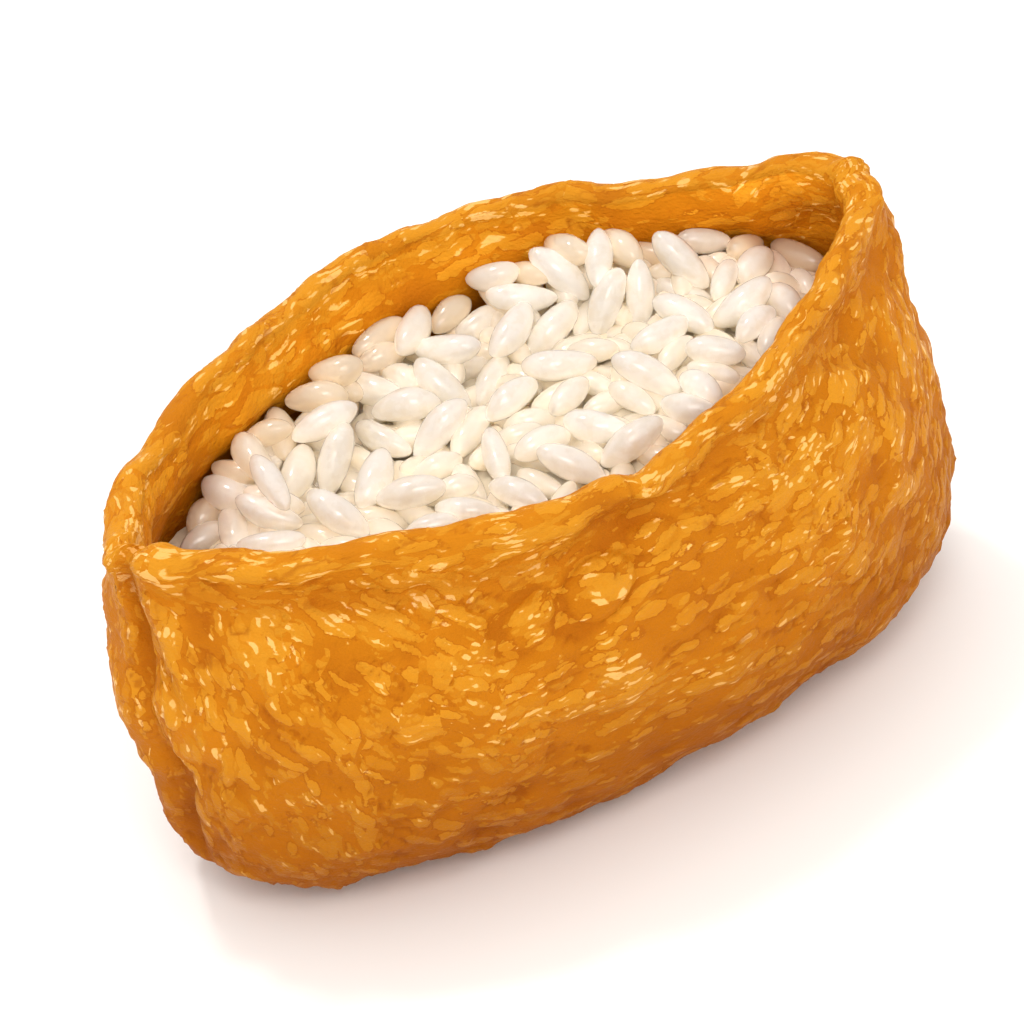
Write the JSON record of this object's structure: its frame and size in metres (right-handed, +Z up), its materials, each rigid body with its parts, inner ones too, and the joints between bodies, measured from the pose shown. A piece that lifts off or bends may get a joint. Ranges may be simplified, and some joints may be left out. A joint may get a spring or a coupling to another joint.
{
  "type": "inari sushi",
  "caption": "Boat-shaped pouch of glazed fried tofu with a rolled lip, open at the top and packed with a domed heap of short-grain rice.",
  "frame": {"origin": "on the surface it rests on, under the middle of its bounding box", "axes": "+Z up, +X along the pouch towards its higher pointed corner, -Y towards the lower front lip"},
  "size_m": [0.0824, 0.0418, 0.0428],
  "materials": {
    "fried_tofu": "simmered fried tofu skin, golden amber, moist satin gloss with wet flecks",
    "rice": "cooked short-grain rice, warm white, slightly translucent and glossy"
  },
  "bodies": {
    "root": {"tofu_pouch": "fried_tofu", "rice": "rice"}
  },
  "joints": []
}
